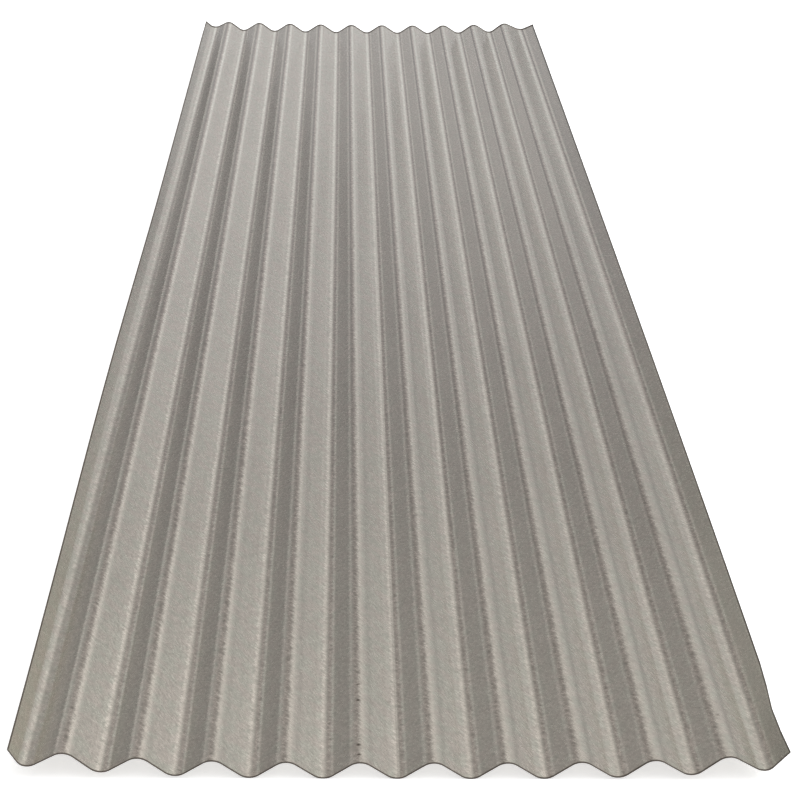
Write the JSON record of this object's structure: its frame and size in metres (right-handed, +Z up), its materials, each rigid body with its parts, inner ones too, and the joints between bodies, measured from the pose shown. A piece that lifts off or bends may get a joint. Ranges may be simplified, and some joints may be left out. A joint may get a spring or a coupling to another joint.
{
  "type": "corrugated metal sheet",
  "caption": "Long thin metal sheet rolled into even round waves, cut square at both ends, with upturned side edges that lap the next sheet; lies on purlins or battens as roof or wall cladding.",
  "frame": {"origin": "middle of the sheet's box, on the floor plane that its three middle troughs rest on", "axes": "+X across the waves, +Y along the waves and the length, +Z up out of the weather side"},
  "size_m": [0.8038, 3.6, 0.0331],
  "materials": {
    "coated_steel": "satin zinc-aluminium coating with a fine grain"
  },
  "bodies": {
    "root": {"corrugated_sheet": "coated_steel"}
  },
  "joints": []
}
